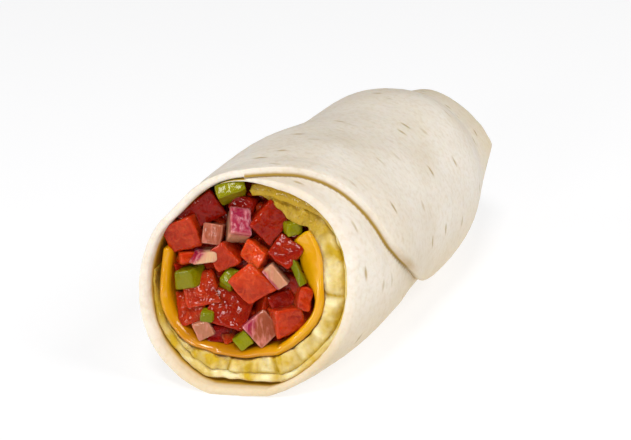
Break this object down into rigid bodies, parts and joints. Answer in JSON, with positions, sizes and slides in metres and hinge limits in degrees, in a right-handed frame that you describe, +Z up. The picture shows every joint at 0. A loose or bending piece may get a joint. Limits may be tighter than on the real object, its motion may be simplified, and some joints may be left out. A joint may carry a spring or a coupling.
{
  "type": "breakfast burrito",
  "caption": "Flour tortilla rolled round a folded egg sheet, bent cheese slice and diced salsa; open at one end, pressed flat at the other, lying on its side",
  "frame": {"origin": "middle of the roll's box, on the surface that it lies on", "axes": "+Z up, +Y along the roll from its open mouth to its flattened end, +X to the right as seen from the mouth"},
  "size_m": [0.0627, 0.1444, 0.0557],
  "materials": {
    "tortilla": "soft floury wheat tortilla, off-white with faint toasted marks",
    "egg": "moist cooked egg, pale yellow, lumpy",
    "cheese": "half-melted processed cheese, golden orange, glossy",
    "salsa": "wet diced tomato with red onion and green pepper"
  },
  "bodies": {
    "root": {"tortilla": "tortilla", "egg_sheet": "egg", "cheese_slice": "cheese", "salsa": "salsa"}
  },
  "joints": []
}
